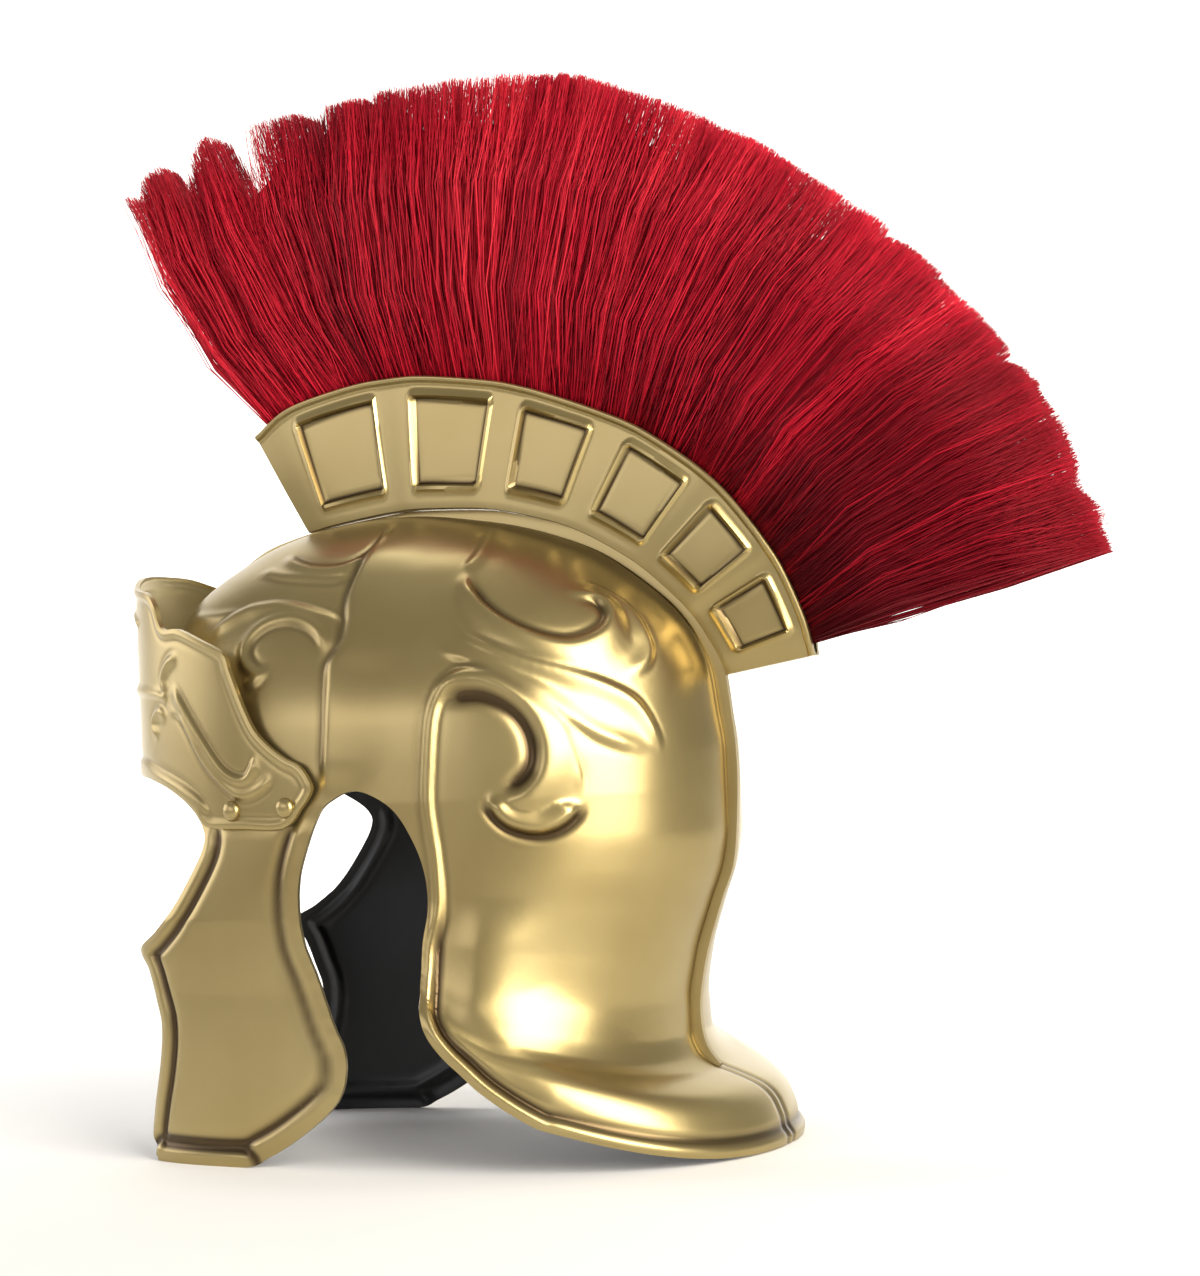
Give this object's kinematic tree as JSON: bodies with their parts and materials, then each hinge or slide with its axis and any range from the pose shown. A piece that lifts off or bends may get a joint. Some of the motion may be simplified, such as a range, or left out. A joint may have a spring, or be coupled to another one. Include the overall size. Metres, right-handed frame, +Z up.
{
  "type": "roman helmet",
  "caption": "Costume roman galea in satin gold with cheek guards, flared neck guard, scrolled brow plate and a fan-shaped crimson crest brush.",
  "frame": {"origin": "centre of the footprint on the surface the helmet stands on", "axes": "+Z up, the face looks along -Y, the wearer's left is +X"},
  "size_m": [0.1922, 0.4156, 0.4294],
  "materials": {
    "gold_shell": "satin gold outside, satin black inside",
    "gold_plate": "satin gold on both faces",
    "gold_holder": "satin gold",
    "gold_rivet": "satin gold",
    "crimson_bristle": "straight dyed bristle"
  },
  "bodies": {
    "root": {"shell_left": "gold_shell", "shell_right": "gold_shell", "brow_plate": "gold_plate", "crest_panel_left": "gold_holder", "crest_panel_right": "gold_holder", "plume": "crimson_bristle", "rivet_left_front": "gold_rivet", "rivet_left_rear": "gold_rivet", "rivet_right_front": "gold_rivet", "rivet_right_rear": "gold_rivet"}
  },
  "joints": []
}
